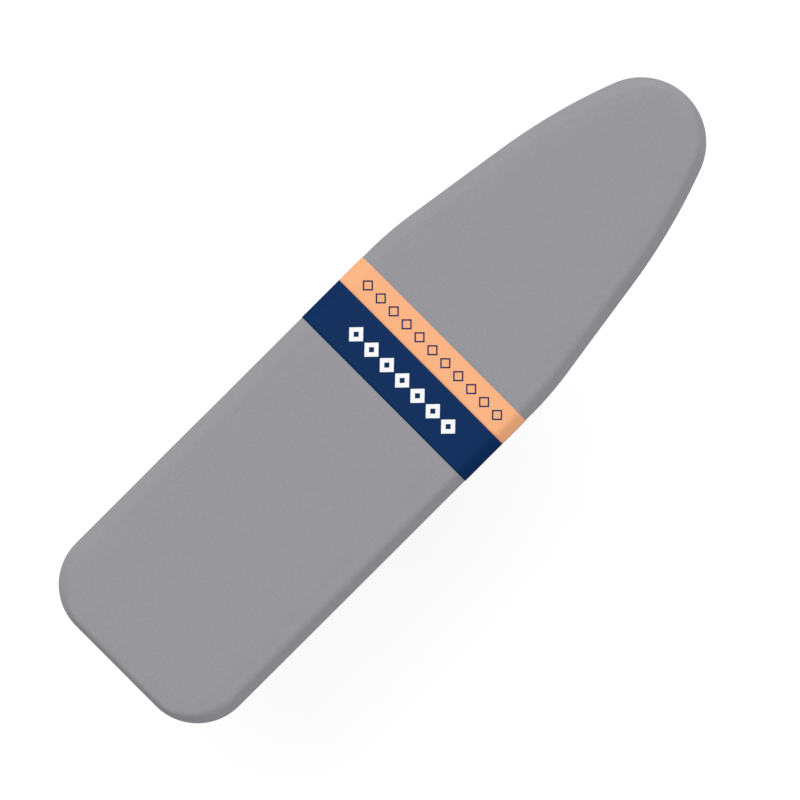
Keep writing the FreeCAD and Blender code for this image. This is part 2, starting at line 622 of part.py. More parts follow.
def build_pawl():
    """Hub fixed on the rod, an arm towards the nose and an upright tooth plate."""
    hub = rod_y(SLIDE_X, PIVOT_Z, -HUB_HALF, HUB_HALF, HUB_R)
    tooth_x = SLIDE_X + TOOTH_REACH - TOOTH_T / 2
    arm = box(SLIDE_X, tooth_x + TOOTH_T / 2, -HUB_HALF, HUB_HALF, PIVOT_Z - HUB_R / 2, PIVOT_Z)
    tooth_low = PIVOT_Z - SPRING_R + SPRING_WIRE_R + 0.2
    tooth = box(tooth_x, tooth_x + TOOTH_T, -RACK_HALF - TOOTH_T, RACK_HALF + TOOTH_T,
                tooth_low, TOOTH_TOP_Z)
    pawl = hub.fuse([arm, tooth]).removeSplitter()
    save("latch_pawl", pawl.cut(rod_y(SLIDE_X, PIVOT_Z, -HUB_HALF - PAST, HUB_HALF + PAST, ROD_R)))


def build_lever():
    """Flat steel arm on the rod's right end, and the grip that is squeezed up to the board."""
    eye = Vector(SLIDE_X, 0, PIVOT_Z)
    end = Vector(SLIDE_X - LEVER_REACH, 0, PIVOT_Z - LEVER_DROP)
    across = (end - eye).cross(Y_AXIS).normalize()
    corners = [eye + across * LEVER_EYE_R, end + across * LEVER_END_R,
               end - across * LEVER_END_R, eye - across * LEVER_EYE_R]
    arm = extrude_y([(c.x, c.z) for c in corners], *LEVER_Y)
    arm = arm.fuse([rod_y(eye.x, eye.z, *LEVER_Y, LEVER_EYE_R),
                    rod_y(end.x, end.z, *LEVER_Y, LEVER_END_R)]).removeSplitter()
    tang_end = GRIP_END_Y + 10
    arm = arm.fuse(rod_y(end.x, end.z, tang_end, LEVER_Y[0], TANG_R))
    save("lever_arm", arm.cut(rod_y(eye.x, eye.z, LEVER_Y[0] - PAST, LEVER_Y[1] + PAST, ROD_R)))
    grip = rod_y(end.x, end.z, GRIP_END_Y, LEVER_Y[0], GRIP_R)
    rims = [e for e in grip.Edges if e.BoundBox.YLength < 1e-6]
    grip = grip.makeFillet(3, rims)
    save("lever_grip", grip.cut(rod_y(end.x, end.z, tang_end, LEVER_Y[0] + PAST, TANG_R)))


def build_spring():
    """Torsion spring round the rod: one leg held in the bridge, one under the tooth plate.

    Every half turn is a flat half circle, leaned a little so that the next one starts beside it.
    """
    def turning_point(half_turns):
        side = -1 if half_turns % 2 == 0 else 1
        return Vector(SLIDE_X, SPRING_Y + half_turns * SPRING_PITCH / 2, PIVOT_Z + side * SPRING_R)

    def wire_end(point):
        return Part.Face(Part.Wire(Part.makeCircle(SPRING_WIRE_R, point, X_AXIS)))

    last = 2 * SPRING_TURNS
    pieces = []
    for i in range(last):
        start, end = turning_point(i), turning_point(i + 1)
        heading = X_AXIS * (1 if i % 2 == 0 else -1)
        pieces.append(wire_end(start).revolve((start + end) / 2, heading.cross(end - start), 180))
    legs = ((turning_point(0), -(SHOE_HALF_X + BRIDGE_T + 3)), (turning_point(last), TOOTH_REACH + TOOTH_T))
    for point, reach in legs:
        pieces.append(wire_end(point).extrude(X_AXIS * reach))
    save("latch_spring", pieces[0].fuse(pieces[1:]))


def main():
    os.makedirs("parts", exist_ok=True)
    build_cover()
    build_hem()
    build_padding()
    build_label()
    build_sheet()
    build_rim()
    build_rails()
    build_ties()
    build_rack()
    build_rivets()
    build_fixed_pivot()
    leg_parts("outer", PIVOT_X, -1, OUTER_Y, OUTER_FOOT_X, OUTER_FOOT_HALF, BOLT_R)
    leg_parts("inner", SLIDE_X, 1, INNER_Y, INNER_FOOT_X, INNER_FOOT_HALF, BOLT_R + 2)
    build_crossing()
    build_carriage()
    build_slide_rod()
    build_pawl()
    build_lever()
    build_spring()


main()
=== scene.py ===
"""Looks of a folding ironing board: cloth cover, padding, paper label band, and every metal and plastic part.

Everything is in metres in the frame of the CAD model: +X to the nose, +Y to the left, +Z up.
"""

import json
import math

import bpy
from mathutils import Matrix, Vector, geometry, noise


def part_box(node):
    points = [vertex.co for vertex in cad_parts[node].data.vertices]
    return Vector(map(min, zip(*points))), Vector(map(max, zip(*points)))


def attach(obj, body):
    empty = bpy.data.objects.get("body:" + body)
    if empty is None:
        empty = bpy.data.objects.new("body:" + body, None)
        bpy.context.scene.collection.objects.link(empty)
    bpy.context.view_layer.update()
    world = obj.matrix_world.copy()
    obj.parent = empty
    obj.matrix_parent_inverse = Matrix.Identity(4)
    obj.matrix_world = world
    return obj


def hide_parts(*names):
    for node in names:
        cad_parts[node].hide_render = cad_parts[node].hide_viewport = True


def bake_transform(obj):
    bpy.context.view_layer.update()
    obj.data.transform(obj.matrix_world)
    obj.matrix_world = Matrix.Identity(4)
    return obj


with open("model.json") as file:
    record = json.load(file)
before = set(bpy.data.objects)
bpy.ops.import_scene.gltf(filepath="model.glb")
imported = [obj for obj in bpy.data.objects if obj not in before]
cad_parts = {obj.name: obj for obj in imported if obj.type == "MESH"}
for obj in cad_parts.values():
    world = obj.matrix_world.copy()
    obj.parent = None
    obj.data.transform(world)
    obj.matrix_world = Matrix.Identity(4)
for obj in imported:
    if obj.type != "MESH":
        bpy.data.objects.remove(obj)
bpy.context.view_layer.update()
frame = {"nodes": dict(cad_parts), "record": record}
MM = 0.001

# ---- sizes of the board, from the frame where it has them ---------------------------
COVER_LOW, COVER_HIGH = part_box("cover")
TAIL_X = COVER_LOW.x
NOSE_X = COVER_HIGH.x
HALF_WIDTH = COVER_HIGH.y
TOP_Z = COVER_HIGH.z
UNDER_Z = COVER_LOW.z
LABEL_TAIL_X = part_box("navy_label_band")[0].x
LABEL_SPLIT_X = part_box("navy_label_band")[1].x
LABEL_NOSE_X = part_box("peach_label_band")[1].x

# Shape of the outline seen from above: the same arcs as the CAD board.
CORNER_R = 99.5 * MM
SHOULDER_R = 639.0 * MM
TAPER = math.radians(8.64)
FLANK_R = 1050.0 * MM
NOSE_ANGLE = math.radians(20.8)
NOSE_R = 111.3 * MM

# Section of the soft edge: the padding thins towards the rim, and the cloth slopes down to it.
SLOPE_SIDE = 27 * MM       # how far in the top starts to slope, along the sides
SLOPE_END = 15 * MM        # the same at the tail and the nose
SLOPE_DOWN = 13.6 * MM     # top of the rim under the cloth, below the ironing surface
RIM_BEND_R = 3 * MM        # where the cloth turns over the rim
BEND_R = 4 * MM            # round the bottom of the rim
HEM_INSET = 46 * MM
CLOTH_T = 0.7 * MM
SEAM_FROM_HEM = 3.2 * MM
CASING_R = 3.1 * MM
CASING_INSET = HEM_INSET + CASING_R + 0.6 * MM

# Legs, as the CAD model has them.
LEG_ANGLE = math.radians(52)
PIVOT_Z = 870 * MM
OUTER_PIVOT_X = sum(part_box("nose_pivot_rod")[i].x for i in (0, 1)) / 2
INNER_PIVOT_X = sum(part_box("slide_rod")[i].x for i in (0, 1)) / 2
PIVOT_OFFSET = 26 * MM
FOOT_AXIS_Z = 13 * MM
OUTER_Y = 96 * MM
INNER_Y = 68 * MM
TUBE_R = 11 * MM
BRACE_R = 8 * MM
BRACE_UP = 85 * MM
BRACKET_LENGTH = 46 * MM
BRACKET_EYE_R = 10 * MM

WELD_R = 1.3 * MM
BRACKET_WALL = 0.8 * MM    # how far the brackets' weld stands off the tube

# Meshes of the soft parts.
STATION_STEP = 2.6 * MM    # spacing of the mesh columns round the board
TOP_GRID = 9 * MM
FLAT_INSETS = (40 * MM, 33 * MM)    # rings on the flat top, outside its grid
GRID_INSET = 45 * MM       # where that grid ends
ROUND_STEPS = 4            # mesh rows of a quarter turn
TURN_STEPS = 8             # mesh rows of the gentle turn into the slope
STRAIGHT_STEPS = 4         # mesh rows of the straight slope
UNDER_ROWS = 10            # mesh rows from the rim to the hem
INSIDE_ONLY = 1            # Blender's number for a triangulation that stops at its edges
SAME_POINT = 1e-7          # points closer than this count as one
SWELL_FRAMES = 20          # the simulation that lets the padding push the stretched cloth out
SWELL_CAP = 1.4 * MM
GATHER_PERIOD = 13 * MM
GATHER_STRAIGHT = 0.7 * MM
GATHER_CURVED = 2.4 * MM

# Paper band, padding and moulded parts.
LABEL_FADE = 12 * MM       # how far beside the band the cloth is still pressed flat
LABEL_STANDS_OFF = 0.55 * MM
LABEL_TUCK = 36 * MM       # how far the band's ends reach in under the board
LABEL_LIFT = 0.35 * MM     # of the band's free edges
LABEL_LIFT_REACH = 9 * MM
LABEL_COLUMN = 4 * MM      # spacing of the band's mesh columns
PAPER_T = 0.3 * MM
LAYER_GAP = 0.1 * MM       # left between a pad and the layer's place in the CAD model
PAD_FRAY = 0.25 * MM
PAD_ROUND = 0.6 * MM       # how far a pad's corners are rounded in
MOUTH_DEPTH = 3 * MM       # of the foot caps, where the foot bar goes in
LEVER_HOLE_R = 4.1 * MM    # of the grip, round the lever's arm
TIP_R = 0.1 * MM           # where a turned shape closes at its middle


# ---- outline ------------------------------------------------------------------------
def outline_arcs():
    """Centre, radius, first and last direction of each arc of the left half, tail to nose.

    A direction is the angle from +Y towards +X. Straight stretches join the arcs.
    """
    nose = (NOSE_X - NOSE_R, 0.0)
    pull = FLANK_R - NOSE_R
    flank = (nose[0] - pull * math.sin(NOSE_ANGLE), -pull * math.cos(NOSE_ANGLE))
    shoulder_y = HALF_WIDTH - SHOULDER_R
    rise = (shoulder_y - flank[1]) * math.cos(TAPER) + SHOULDER_R - FLANK_R
    shoulder = (flank[0] - rise / math.sin(TAPER), shoulder_y)
    corner = (TAIL_X + CORNER_R, HALF_WIDTH - CORNER_R)
    return [
        (corner, CORNER_R, -math.pi / 2, 0.0),
        (shoulder, SHOULDER_R, 0.0, TAPER),
        (flank, FLANK_R, TAPER, NOSE_ANGLE),
        (nose, NOSE_R, NOSE_ANGLE, math.pi / 2),
    ]


class Station:
    """A place on the outline: where it is, which way is out, and how tightly it curves."""

    def __init__(self, x, y, angle, side, curvature):
        self.x = x
        self.y = y * side
        self.nx = math.sin(angle)
        self.ny = math.cos(angle) * side
        self.curvature = curvature
        self.along = 0.0

    def at(self, inset, z):
        return Vector((self.x - self.nx * inset, self.y - self.ny * inset, z))


def half_outline(step, side):
    """Stations from the middle of the tail to just before the tip of the nose, on one side."""
    stations = []
    last = (TAIL_X, 0.0)
    for (cx, cy), radius, start, end in outline_arcs():
        first = (cx + radius * math.sin(start), cy + radius * math.cos(start))
        run = math.hypot(first[0] - last[0], first[1] - last[1])
        count = math.ceil(run / step) if run > step / 10 else 0
        for i in range(count):
            t = i / count
            stations.append(Station(last[0] + (first[0] - last[0]) * t,
                                    last[1] + (first[1] - last[1]) * t, start, side, 0.0))
        count = math.ceil(radius * (end - start) / step)
        for i in range(count):
            angle = start + (end - start) * i / count
            stations.append(Station(cx + radius * math.sin(angle), cy + radius * math.cos(angle),
                                    angle, side, 1 / radius))
        last = (cx + radius * math.sin(end), cy + radius * math.cos(end))
    return stations


def outline_stations(step):
    """The whole outline, from the middle of the tail round by the left side."""
    left = half_outline(step, 1)
    right = half_outline(step, -1)[1:]
    tip = Station(NOSE_X, 0.0, math.pi / 2, 1, 1 / NOSE_R)
    stations = left + [tip] + right[::-1]
    for before, after in zip(stations, stations[1:]):
        after.along = before.along + math.hypot(after.x - before.x, after.y - before.y)
    return stations


STATIONS = outline_stations(STATION_STEP)
PERIMETER = STATIONS[-1].along + STATION_STEP
GATHERS = round(PERIMETER / GATHER_PERIOD)


# ---- mesh helpers -------------------------------------------------------------------
def smooth_step(low, high, value):
    t = min(max((value - low) / (high - low), 0.0), 1.0)
    return t * t * (3 - 2 * t)


def make_piece(name, points, faces, material, body):
    """A mesh object with one material that moves with a body."""
    mesh = bpy.data.meshes.new(name)
    mesh.from_pydata([tuple(p) for p in points], [], faces)
    mesh.validate()
    mesh.polygons.foreach_set("use_smooth", [True] * len(mesh.polygons))
    mesh.materials.append(material)
    piece = bpy.data.objects.new(name, mesh)
    bpy.context.scene.collection.objects.link(piece)
    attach(piece, body)
    return piece


def apply_modifiers(piece):
    """Turns what the modifiers make into the piece's own mesh."""
    graph = bpy.context.evaluated_depsgraph_get()
    made = bpy.data.meshes.new_from_object(piece.evaluated_get(graph))
    piece.modifiers.clear()
    piece.data = made


def ring_faces(first, second, count, flip=False):
    """Quads between two closed rings of vertices."""
    faces = []
    for i in range(count):
        j = (i + 1) % count
        quad = (first + i, first + j, second + j, second + i)
        faces.append(quad[::-1] if flip else quad)
    return faces


def fill_ring(flat_points, ring_count):
    """Fills a closed ring with triangles. Points listed after the ring's own lie inside it."""
    edges = [(i, (i + 1) % ring_count) for i in range(ring_count)]
    points, _, triangles, *_ = geometry.delaunay_2d_cdt(flat_points, edges, [], INSIDE_ONLY, SAME_POINT)
    return points, triangles


def set_flat_cut(mesh, flat_points):
    """A UV map that holds each point's place on the cloth before it was sewn, in metres."""
    layer = mesh.uv_layers.new(name="flat_cut")
    for loop in mesh.loops:
        layer.data[loop.index].uv = flat_points[loop.vertex_index]


# ---- cover --------------------------------------------------------------------------
def slope_profile(reach):
    """Inset and drop of the padded edge: flat, a gentle turn, a straight slope, a turn over the rim."""
    drop = SLOPE_DOWN
    turn = reach / 2
    tilt = 2 * math.atan(drop / (turn + 2 * (reach - turn)))
    for _ in range(8):    # the tilt at which the turn and the slope together come down by drop
        tilt = math.atan((drop - turn * math.tan(tilt / 2)) / (reach - turn))
    radius = turn / math.sin(tilt)
    points = []
    for i in range(TURN_STEPS + 1):
        angle = tilt * i / TURN_STEPS
        points.append((reach - radius * math.sin(angle), radius * (1 - math.cos(angle))))
    inset0, drop0 = points[-1]
    corner = RIM_BEND_R * math.tan((math.pi / 2 - tilt) / 2)
    inset1, drop1 = corner * math.cos(tilt), drop - corner * math.sin(tilt)
    for i in range(1, STRAIGHT_STEPS + 1):
        t = i / STRAIGHT_STEPS
        points.append((inset0 + (inset1 - inset0) * t, drop0 + (drop1 - drop0) * t))
    for i in range(1, ROUND_STEPS + 1):
        angle = tilt + (math.pi / 2 - tilt) * i / ROUND_STEPS
        points.append((RIM_BEND_R * (1 - math.sin(angle)), drop + corner - RIM_BEND_R * math.cos(angle)))
    return points


def edge_section(reach):
    """Inset and height of the cover's outside, from the flat top round to the hem."""
    section = [(inset, TOP_Z) for inset in FLAT_INSETS]
    section += [(inset, TOP_Z - drop) for inset, drop in slope_profile(reach)]
    wall_top, wall_low = section[-1][1], UNDER_Z + BEND_R
    section += [(0.0, wall_top + (wall_low - wall_top) * t) for t in (0.33, 0.66)]
    for i in range(ROUND_STEPS + 1):
        angle = math.pi / 2 * i / ROUND_STEPS
        section.append((BEND_R * (1 - math.cos(angle)), wall_low - BEND_R * math.sin(angle)))
    for i in range(1, UNDER_ROWS + 1):
        section.append((BEND_R + (HEM_INSET - BEND_R) * i / UNDER_ROWS, UNDER_Z))
    return section


def under_label(x):
    """1 where the paper band presses the cloth flat, 0 away from it."""
    from_tail = smooth_step(LABEL_TAIL_X - LABEL_FADE, LABEL_TAIL_X, x)
    return from_tail * smooth_step(LABEL_NOSE_X + LABEL_FADE, LABEL_NOSE_X, x)


def smooth_curvature(index, reach=24):
    """Curvature of the outline averaged over some stations each way."""
    total = 0.0
    for k in range(-reach, reach + 1):
        total += STATIONS[(index + k) % len(STATIONS)].curvature
    return total / (2 * reach + 1)


def gather_waves():
    """For each station, the height of the gathers that the elastic pulls into the hem."""
    nearly_straight, tight = 1.0, 7.0    # curvatures of the outline
    waves = []
    for i, s in enumerate(STATIONS):
        wobble = noise.noise(Vector((s.x * 14, s.y * 14, 3.1)))
        depth = noise.noise(Vector((s.x * 31, s.y * 31, 7.7)))
        phase = 2 * math.pi * GATHERS * s.along / PERIMETER + 2.6 * wobble
        ridge = math.sin(phase) + 0.35 * math.sin(2.3 * phase + 5 * depth)
        curved = smooth_step(nearly_straight, tight, smooth_curvature(i))
        size = GATHER_STRAIGHT + (GATHER_CURVED - GATHER_STRAIGHT) * curved
        size *= 0.75 + 0.5 * depth
        size *= 1 - 0.9 * under_label(s.x)
        waves.append(ridge * size)
    return waves


WAVES = gather_waves()


def slope_reach(index):
    """How far in the padded edge starts to slope at a station: wide on the sides, narrow at the ends."""
    near = 12    # stations each way that are averaged
    across = 0.0
    for k in range(-near, near + 1):
        across += abs(STATIONS[(index + k) % len(STATIONS)].ny) / (2 * near + 1)
    return SLOPE_END + (SLOPE_SIDE - SLOPE_END) * smooth_step(0.1, 0.95, across)


def cover_point(index, inset, z):
    """A point of the cover's outside, with the gathers underneath and a slightly uneven edge."""
    sag, lean, uneven = 0.25, 0.35, 0.35 * MM
    s = STATIONS[index]
    grown = smooth_step(2 * MM, HEM_INSET, inset) if z < UNDER_Z + MM else 0.0
    dz = -abs(WAVES[index]) * sag * grown + WAVES[index] * grown
    dn = lean * WAVES[index] * grown
    if z > UNDER_Z + MM:
        low = noise.noise(Vector((s.x * 9, s.y * 9, z * 30)))
        dn += uneven * low * (1 - under_label(s.x)) * smooth_step(FLAT_INSETS[1] + MM, 20 * MM, inset)
    return s.at(inset + dn, z + dz)


def developed_lengths(section, start):
    """Inset on the flat cut of each point of the section; it goes below 0 past the outline."""
    lengths = [start]
    for (inset0, z0), (inset1, z1) in zip(section, section[1:]):
        lengths.append(lengths[-1] - math.hypot(inset1 - inset0, z1 - z0))
    return lengths


def top_fill(ring_points):
    """Points and triangles that fill the flat top inside a closed ring, on an even grid."""
    flat = [Vector((p.x, p.y)) for p in ring_points]
    inner = [s.at(GRID_INSET, 0.0) for s in STATIONS[::4]]
    row_step = TOP_GRID * math.sqrt(3) / 2
    rows = int(HALF_WIDTH / row_step) + 1
    columns = int((NOSE_X - TAIL_X) / TOP_GRID) + 1
    for row in range(-rows, rows + 1):
        for column in range(columns):
            x = TAIL_X + (column + (row % 2) / 2) * TOP_GRID
            y = row * row_step
            if inside(inner, x, y):
                flat.append(Vector((x, y)))
    points, faces = fill_ring(flat, len(ring_points))
    return [Vector((p.x, p.y, TOP_Z)) for p in points], [tuple(f) for f in faces]


def inside(polygon, x, y):
    """Whether a point is inside a closed polygon."""
    found = False
    before = polygon[-1]
    for corner in polygon:
        if (corner.y > y) != (before.y > y):
            cross = (before.x - corner.x) * (y - corner.y) / (before.y - corner.y) + corner.x
            if x < cross:
                found = not found
        before = corner
    return found


def build_cover(material):
    sections = [edge_section(slope_reach(i)) for i in range(len(STATIONS))]
    lengths = [developed_lengths(section, section[0][0]) for section in sections]
    count = len(STATIONS)
    ring = [s.at(sections[0][0][0], TOP_Z) for s in STATIONS]
    points, faces = top_fill(ring)
    faces = [f if facing_up(points, f) else f[::-1] for f in faces]
    flat_points = [(p.x, p.y) for p in points]
    before = 0
    for row in range(1, len(sections[0])):
        start = len(points)
        for i, s in enumerate(STATIONS):
            points.append(cover_point(i, *sections[i][row]))
            flat_points.append((s.x - s.nx * lengths[i][row], s.y - s.ny * lengths[i][row]))
        faces += ring_faces(before, start, count)
        before = start
    cover = make_piece("cloth_cover", points, faces, material, "board")
    set_flat_cut(cover.data, flat_points)
    swell(cover)
    shell = cover.modifiers.new("cloth", "SOLIDIFY")
    shell.thickness = CLOTH_T
    shell.offset = -1
    apply_modifiers(cover)
    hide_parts("cover")
    wrap = -min(length[-1] for length in lengths)
    width = 2 * (HALF_WIDTH + wrap)
    length = NOSE_X - TAIL_X + 2 * wrap
    return cover, width, length, polygon_area([s.at(-wrap, 0) for s in STATIONS])


def held_share(point):
    """How firmly a point of the cover is held: fully from the rim down, hardly at all on the pad."""
    return smooth_step(TOP_Z - 0.5 * MM, TOP_Z - SLOPE_DOWN, point.z)


def swell(cover):
    """Cloth simulation: the padding presses out against cloth that the rim and the hem hold."""
    held = cover.vertex_groups.new(name="held")
    for vertex in cover.data.vertices:
        held.add([vertex.index], held_share(vertex.co), "REPLACE")
    cloth = cover.modifiers.new("swell", "CLOTH")
    cloth.collision_settings.use_collision = False
    cloth.point_cache.frame_start = 1
    cloth.point_cache.frame_end = SWELL_FRAMES
    settings = cloth.settings
    settings.quality = 4
    settings.mass = 0.3
    settings.tension_stiffness = 20
    settings.compression_stiffness = 20
    settings.shear_stiffness = 8
    settings.bending_stiffness = 1
    settings.use_pressure = True
    settings.uniform_pressure_force = 4
    settings.effector_weights.gravity = 0
    settings.vertex_group_mass = "held"
    scene = bpy.context.scene
    for frame_number in range(1, SWELL_FRAMES + 1):
        scene.frame_set(frame_number)
    swollen = cover.evaluated_get(bpy.context.evaluated_depsgraph_get()).to_mesh()
    outward = [vertex.normal.copy() for vertex in cover.data.vertices]
    moves = [after.co - before.co for before, after in zip(cover.data.vertices, swollen.vertices)]
    cover.modifiers.clear()
    cover.vertex_groups.clear()
    scene.frame_set(1)
    for vertex, move, normal in zip(cover.data.vertices, moves, outward):
        # The padding behind it stops the cloth from moving in, and the cap from moving out too far.
        out = max(move.dot(normal), 0.0)
        vertex.co += normal * SWELL_CAP * math.tanh(out / SWELL_CAP) * (1 - under_label(vertex.co.x))


def facing_up(points, face):
    a, b, c = (points[i] for i in face[:3])
    return (b.x - a.x) * (c.y - a.y) - (b.y - a.y) * (c.x - a.x) > 0


def polygon_area(points):
    total = 0.0
    for a, b in zip(points, points[1:] + points[:1]):
        total += a.x * b.y - a.y * b.x
    return abs(total) / 2


# ---- hem ----------------------------------------------------------------------------
def build_hem_casing(material):
    """The tape casing along the hem, puckered by the elastic inside."""
    around = 14
    above = 1.6 * MM    # its middle over the cloth's underside
    pucker = 0.10
    count = len(STATIONS)
    points = []
    for k in range(around):
        angle = 2 * math.pi * k / around
        for i, s in enumerate(STATIONS):
            phase = 4 * math.pi * GATHERS * s.along / PERIMETER + 1.3 * math.cos(angle)
            radius = CASING_R * (1 + pucker * math.sin(phase))
            z = UNDER_Z + above + 0.55 * WAVES[i] + radius * math.sin(angle)
            points.append(s.at(CASING_INSET + 0.35 * WAVES[i] + radius * math.cos(angle), z))
    faces = []
    for k in range(around):
        faces += ring_faces(k * count, (k + 1) % around * count, count, flip=True)
    casing = make_piece("hem_tape", points, faces, material, "board")
    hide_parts("hem_casing")
    return casing


def build_hem_stitches(material):
    """A row of stitches through the cloth beside the casing."""
    stitch, gap, radius = 3.2 * MM, 1.2 * MM, 0.35 * MM
    sunk = 0.25 * MM
    per_stitch = max(1, round((stitch + gap) / STATION_STEP))
    sides = 6
    points, faces = [], []
    inset = HEM_INSET - SEAM_FROM_HEM
    for i in range(0, len(STATIONS) - per_stitch, per_stitch):
        a = cover_point(i, inset, UNDER_Z)
        b = cover_point(i + per_stitch, inset, UNDER_Z)
        along = (b - a).normalized()
        side = along.cross(Vector((0, 0, 1))).normalized()
        up = side.cross(along)
        length = min(stitch, (b - a).length * 0.72)
        start = len(points)
        rings = 5
        for r in range(rings):
            t = r / (rings - 1)
            centre = a + along * length * t - up * sunk
            thick = radius * (0.35 + 0.65 * math.sin(math.pi * (0.12 + 0.76 * t)))
            for k in range(sides):
                angle = 2 * math.pi * k / sides
                points.append(centre + side * thick * math.cos(angle) + up * thick * math.sin(angle))
        for r in range(rings - 1):
            faces += ring_faces(start + r * sides, start + (r + 1) * sides, sides)
        faces.append(tuple(start + k for k in range(sides))[::-1])
        faces.append(tuple(start + (rings - 1) * sides + k for k in range(sides)))
    return make_piece("hem_stitches", points, faces, material, "board")


# ---- label band ---------------------------------------------------------------------
def label_section():
    """Y and height of the paper band across the board, from under the left hem to under the right."""
    grow = LABEL_STANDS_OFF
    half = []
    tucked_steps, middle_steps = 8, 40
    for i in range(tucked_steps):
        half.append((LABEL_TUCK + (BEND_R - LABEL_TUCK) * i / tucked_steps, UNDER_Z - grow))
    for i in range(ROUND_STEPS + 1):
        angle = math.pi / 2 * i / ROUND_STEPS
        reach = BEND_R + grow
        half.append((BEND_R - reach * math.sin(angle), UNDER_Z + BEND_R - reach * math.cos(angle)))
    profile = slope_profile(SLOPE_SIDE)[::-1]
    for i, (inset, drop) in enumerate(profile):
        before, after = profile[max(i - 1, 0)], profile[min(i + 1, len(profile) - 1)]
        tangent = math.atan2(before[1] - after[1], after[0] - before[0])
        half.append((inset - grow * math.sin(tangent), TOP_Z - drop + grow * math.cos(tangent)))
    left = [(HALF_WIDTH - inset, z) for inset, z in half]
    middle = [(left[-1][0] * (1 - 2 * i / middle_steps), TOP_Z + grow) for i in range(1, middle_steps)]
    right = [(-y, z) for y, z in left[::-1]]
    return left + middle + right


def build_label(color, x0, x1, material):
    """One colour of the paper band, with edges that lift very slightly."""
    section = label_section()
    columns = round((x1 - x0) / LABEL_COLUMN)
    points, faces = [], []
    for column in range(columns + 1):
        x = x0 + (x1 - x0) * column / columns
        from_edge = min(x - LABEL_TAIL_X, LABEL_NOSE_X - x)
        lift = LABEL_LIFT * smooth_step(LABEL_LIFT_REACH, 0.0, from_edge)
        for y, z in section:
            wave = noise.noise(Vector((x * 25, y * 12, 5.5)))
            flat = smooth_step(HALF_WIDTH - 2 * MM, HALF_WIDTH - 30 * MM, abs(y))
            up = 1 if z > UNDER_Z + BEND_R else -0.3
            points.append(Vector((x, y, z + up * flat * lift * (0.7 + 0.6 * wave))))
    row = len(section)
    for column in range(columns):
        for i in range(row - 1):
            a = column * row + i
            faces.append((a, a + 1, a + row + 1, a + row))
    band = make_piece(color + "_band", points, faces, material, "board")
    paper = band.modifiers.new("paper", "SOLIDIFY")
    paper.thickness = PAPER_T
    paper.offset = 0
    apply_modifiers(band)
    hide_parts(color + "_label_band")


# ---- padding ------------------------------------------------------------------------
def build_pad(kind, material):
    """A layer of padding cut to the board's shape, soft at its edge."""
    low, high = (corner.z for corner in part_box(kind + "_layer"))
    low += LAYER_GAP
    high -= LAYER_GAP
    stations = STATIONS[::3]
    sections = [slope_profile(slope_reach(i)) for i in range(0, len(STATIONS), 3)]

    def reach(profile, z):
        """How far in the layer ends so that it stays inside the cover's sloping edge."""
        drop = TOP_Z - z
        for (inset0, drop0), (inset1, drop1) in zip(profile, profile[1:]):
            if drop0 <= drop <= drop1:
                share = (drop - drop0) / (drop1 - drop0)
                return inset0 + (inset1 - inset0) * share + 2 * CLOTH_T
        return profile[-1][0] + 2 * CLOTH_T

    heights = [low, low + (high - low) * 0.3, low + (high - low) * 0.7, high]
    count = len(stations)
    points, faces = [], []
    for k, z in enumerate(heights):
        for s, profile in zip(stations, sections):
            fray = PAD_FRAY * noise.noise(Vector((s.x * 60, s.y * 60, z * 400)))
            rounded = PAD_ROUND if z in (low, high) else 0
            points.append(s.at(reach(profile, z) + fray + rounded, z))
        if k:
            faces += ring_faces((k - 1) * count, k * count, count, flip=True)
    for k, z, up in ((3, high, True), (0, low, False)):
        ring = [Vector((p.x, p.y)) for p in points[k * count:(k + 1) * count]]
        for tri in fill_ring(ring, count)[1]:
            tri = tuple(k * count + i for i in tri)
            faces.append(tri if facing_up(points, tri) == up else tri[::-1])
    pad = make_piece(kind + "_pad", points, faces, material, "board")
    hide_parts(kind + "_layer")
    return pad


# ---- legs, feet and lever -----------------------------------------------------------
def lathe_y(profile, x, z):
    """Points and faces of a closed shape turned about a line along Y; profile is (y, radius)."""
    sides = 48
    points, faces = [], []
    for y, radius in profile:
        for k in range(sides):
            angle = 2 * math.pi * k / sides
            points.append(Vector((x + radius * math.cos(angle), y, z + radius * math.sin(angle))))
    for row in range(len(profile) - 1):
        faces += ring_faces(row * sides, (row + 1) * sides, sides)
    return points, faces


def ribbed(y0, y1, radius, groove, pitch, end_r):
    """Profile of a moulded sleeve with grooves round it and rounded ends, from y0 to y1."""
    way = 1 if y1 > y0 else -1
    length = abs(y1 - y0)
    steps = 64
    profile = []
    for i in range(steps + 1):
        t = i / steps * length
        edge = min(t, length - t)
        r = radius
        if edge < end_r:
            r -= end_r - math.sqrt(max(end_r ** 2 - (end_r - edge) ** 2, 0.0))
        elif edge > 2.2 * end_r:
            r -= groove * max(0.0, math.cos(2 * math.pi * t / pitch)) ** 3
        profile.append((y0 + way * t, r))
    return profile


def build_foot_cap(leg, side, material):
    """A grooved foot cap with a flat sole, hollow at the end that takes the foot bar."""
    node = leg + "_foot_cap_" + side
    low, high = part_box(node)
    way = 1 if side == "left" else -1
    y_open, y_end = (low.y, high.y) if way > 0 else (high.y, low.y)
    x, radius = (low.x + high.x) / 2, (high.x - low.x) / 2
    z = high.z - radius
    profile = ribbed(y_open, y_end, radius, groove=0.9 * MM, pitch=6.5 * MM, end_r=1.6 * MM)
    mouth = [(y_open + way * MOUTH_DEPTH, TUBE_R), (y_open, TUBE_R)]
    profile = mouth + profile + [(y_end, TIP_R)]
    points, faces = lathe_y(profile, x, z)
    for point in points:
        point.z = max(point.z, 0.0)
    if way < 0:
        faces = [face[::-1] for face in faces]
    cap = make_piece(leg + "_foot_" + side, points, [f[::-1] for f in faces], material, leg + "_leg")
    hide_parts(node)


